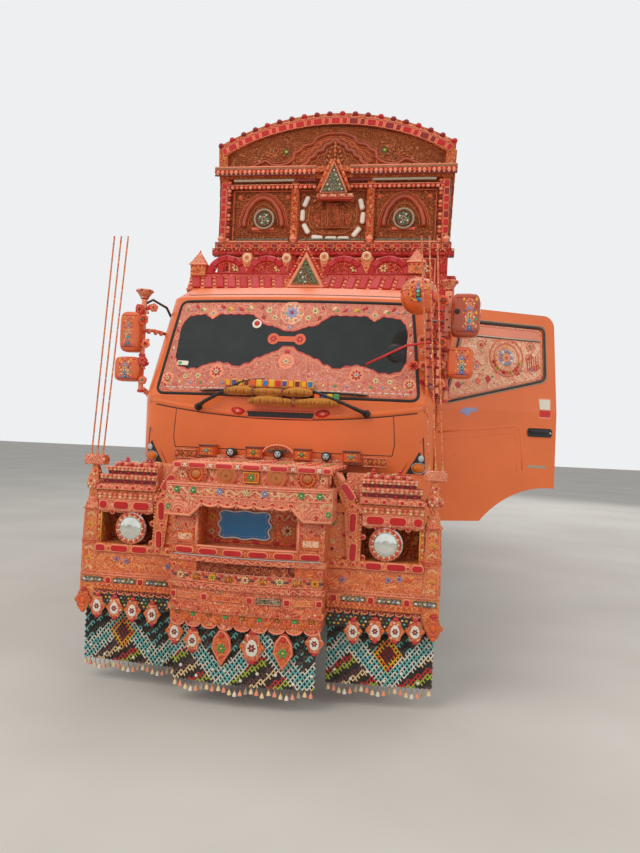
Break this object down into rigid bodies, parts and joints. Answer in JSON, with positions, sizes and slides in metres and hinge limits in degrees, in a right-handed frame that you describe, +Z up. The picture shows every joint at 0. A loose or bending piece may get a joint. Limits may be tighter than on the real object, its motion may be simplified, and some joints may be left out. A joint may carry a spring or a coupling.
{
  "type": "decorated cargo truck",
  "caption": "Cab-over two-axle cargo truck with a tall carved crown, tiled ornamental bumper, chain curtain, roof balcony and high-sided open body.",
  "frame": {"origin": "middle of the base of the whole box, on the ground", "axes": "+Y towards the tail, +X to the truck's left, +Z up"},
  "size_m": [3.4066, 9.245, 4.9353],
  "materials": {
    "battery_box": "satin",
    "body_floor": "rough",
    "body_front": "gloss",
    "body_side_left": "gloss",
    "body_side_right": "gloss",
    "bumper_beam": "satin",
    "bumper_canopy": "gloss",
    "bumper_centre": "gloss",
    "bumper_posts": "polished",
    "bumper_wings": "gloss",
    "cab_back": "gloss",
    "cab_floor": "matt",
    "cab_front": "gloss",
    "cab_quarters": "gloss",
    "cab_roof": "gloss",
    "cab_steps": "satin",
    "chain_skirt": "satin",
    "chassis_frame": "satin",
    "crown": "gloss",
    "crown_trim": "gloss",
    "dashboard": "matt",
    "door_glass_left": "clear",
    "door_glass_right": "clear",
    "door_left": "gloss",
    "door_right": "gloss",
    "engine_block": "rough",
    "front_axle": "rough",
    "front_springs": "rough",
    "fuel_tank": "satin",
    "grille": "polished",
    "headlamps": "polished",
    "knuckle_left": "rough",
    "knuckle_right": "rough",
    "lamp_row": "polished",
    "mirrors_left": "polished",
    "mirrors_right": "polished",
    "number_panel": "gloss",
    "propeller_shaft": "satin",
    "rear_axle": "rough",
    "rear_bumper": "satin",
    "rear_frame": "gloss",
    "rear_mudguards": "satin",
    "rear_springs": "rough",
    "rim_front_left": "satin",
    "rim_front_right": "satin",
    "rim_rear_left": "satin",
    "rim_rear_right": "satin",
    "roof_parapet": "gloss",
    "seats": "matt",
    "side_skirts": "gloss",
    "steering_wheel": "satin",
    "tail_lamps": "gloss",
    "tailgate": "gloss",
    "tyre_front_left": "matt",
    "tyre_front_right": "matt",
    "tyres_rear_left": "matt",
    "tyres_rear_right": "matt",
    "windscreen": "clear",
    "wing_tiers": "gloss",
    "wipers": "satin"
  },
  "bodies": {
    "chassis": {"battery_box": "battery_box", "body_floor": "body_floor", "body_front": "body_front", "body_side_left": "body_side_left", "body_side_right": "body_side_right", "bumper_beam": "bumper_beam", "bumper_canopy": "bumper_canopy", "bumper_centre": "bumper_centre", "bumper_posts": "bumper_posts", "bumper_wings": "bumper_wings", "cab_back": "cab_back", "cab_floor": "cab_floor", "cab_front": "cab_front", "cab_quarters": "cab_quarters", "cab_roof": "cab_roof", "cab_steps": "cab_steps", "chain_skirt": "chain_skirt", "chassis_frame": "chassis_frame", "crown": "crown", "crown_trim": "crown_trim", "dashboard": "dashboard", "engine_block": "engine_block", "front_axle": "front_axle", "front_springs": "front_springs", "fuel_tank": "fuel_tank", "grille": "grille", "headlamps": "headlamps", "lamp_row": "lamp_row", "mirrors_left": "mirrors_left", "mirrors_right": "mirrors_right", "number_panel": "number_panel", "propeller_shaft": "propeller_shaft", "rear_axle": "rear_axle", "rear_bumper": "rear_bumper", "rear_frame": "rear_frame", "rear_mudguards": "rear_mudguards", "rear_springs": "rear_springs", "roof_parapet": "roof_parapet", "seats": "seats", "side_skirts": "side_skirts", "steering_wheel": "steering_wheel", "tail_lamps": "tail_lamps", "windscreen": "windscreen", "wing_tiers": "wing_tiers", "wipers": "wipers"},
    "steer_left": {"knuckle_left": "knuckle_left"},
    "wheel_front_left": {"tyre_front_left": "tyre_front_left", "rim_front_left": "rim_front_left"},
    "wheel_rear_left": {"tyres_rear_left": "tyres_rear_left", "rim_rear_left": "rim_rear_left"},
    "door_left": {"door_left": "door_left", "door_glass_left": "door_glass_left"},
    "steer_right": {"knuckle_right": "knuckle_right"},
    "wheel_front_right": {"tyre_front_right": "tyre_front_right", "rim_front_right": "rim_front_right"},
    "wheel_rear_right": {"tyres_rear_right": "tyres_rear_right", "rim_rear_right": "rim_rear_right"},
    "door_right": {"door_right": "door_right", "door_glass_right": "door_glass_right"},
    "tailgate": {"tailgate": "tailgate"}
  },
  "joints": [
    {"name": "steer_left", "type": "hinge", "parent": "chassis", "child": "steer_left", "pos_m": [0.43817, -2.3775, 0.52], "axis": [0, 0, 1], "range_deg": [-30, 30]},
    {"name": "roll_front_left", "type": "hinge", "parent": "steer_left", "child": "wheel_front_left", "pos_m": [0.59817, -2.3775, 0.52], "axis": [1, 0, 0], "continuous": true},
    {"name": "roll_rear_left", "type": "hinge", "parent": "chassis", "child": "wheel_rear_left", "pos_m": [0.51317, 2.5225, 0.52], "axis": [1, 0, 0], "continuous": true},
    {"name": "steer_right", "type": "hinge", "parent": "chassis", "child": "steer_right", "pos_m": [-1.12183, -2.3775, 0.52], "axis": [0, 0, 1], "range_deg": [-30, 30]},
    {"name": "roll_front_right", "type": "hinge", "parent": "steer_right", "child": "wheel_front_right", "pos_m": [-1.28183, -2.3775, 0.52], "axis": [1, 0, 0], "continuous": true},
    {"name": "roll_rear_right", "type": "hinge", "parent": "chassis", "child": "wheel_rear_right", "pos_m": [-1.19683, 2.5225, 0.52], "axis": [1, 0, 0], "continuous": true},
    {"name": "door_left", "type": "hinge", "parent": "chassis", "child": "door_left", "pos_m": [0.76217, -3.3555, 1.5], "axis": [0, 0, -1], "range_deg": [-64, 8]},
    {"name": "door_right", "type": "hinge", "parent": "chassis", "child": "door_right", "pos_m": [-1.44583, -3.3555, 1.5], "axis": [0, 0, 1], "range_deg": [0, 72]},
    {"name": "tailgate", "type": "hinge", "parent": "chassis", "child": "tailgate", "pos_m": [-0.34183, 4.5645, 1.21], "axis": [-1, 0, 0], "range_deg": [0, 115]}
  ],
  "couplings": [
    {"joint": "steer_right", "follows": "steer_left", "ratio": 1}
  ]
}
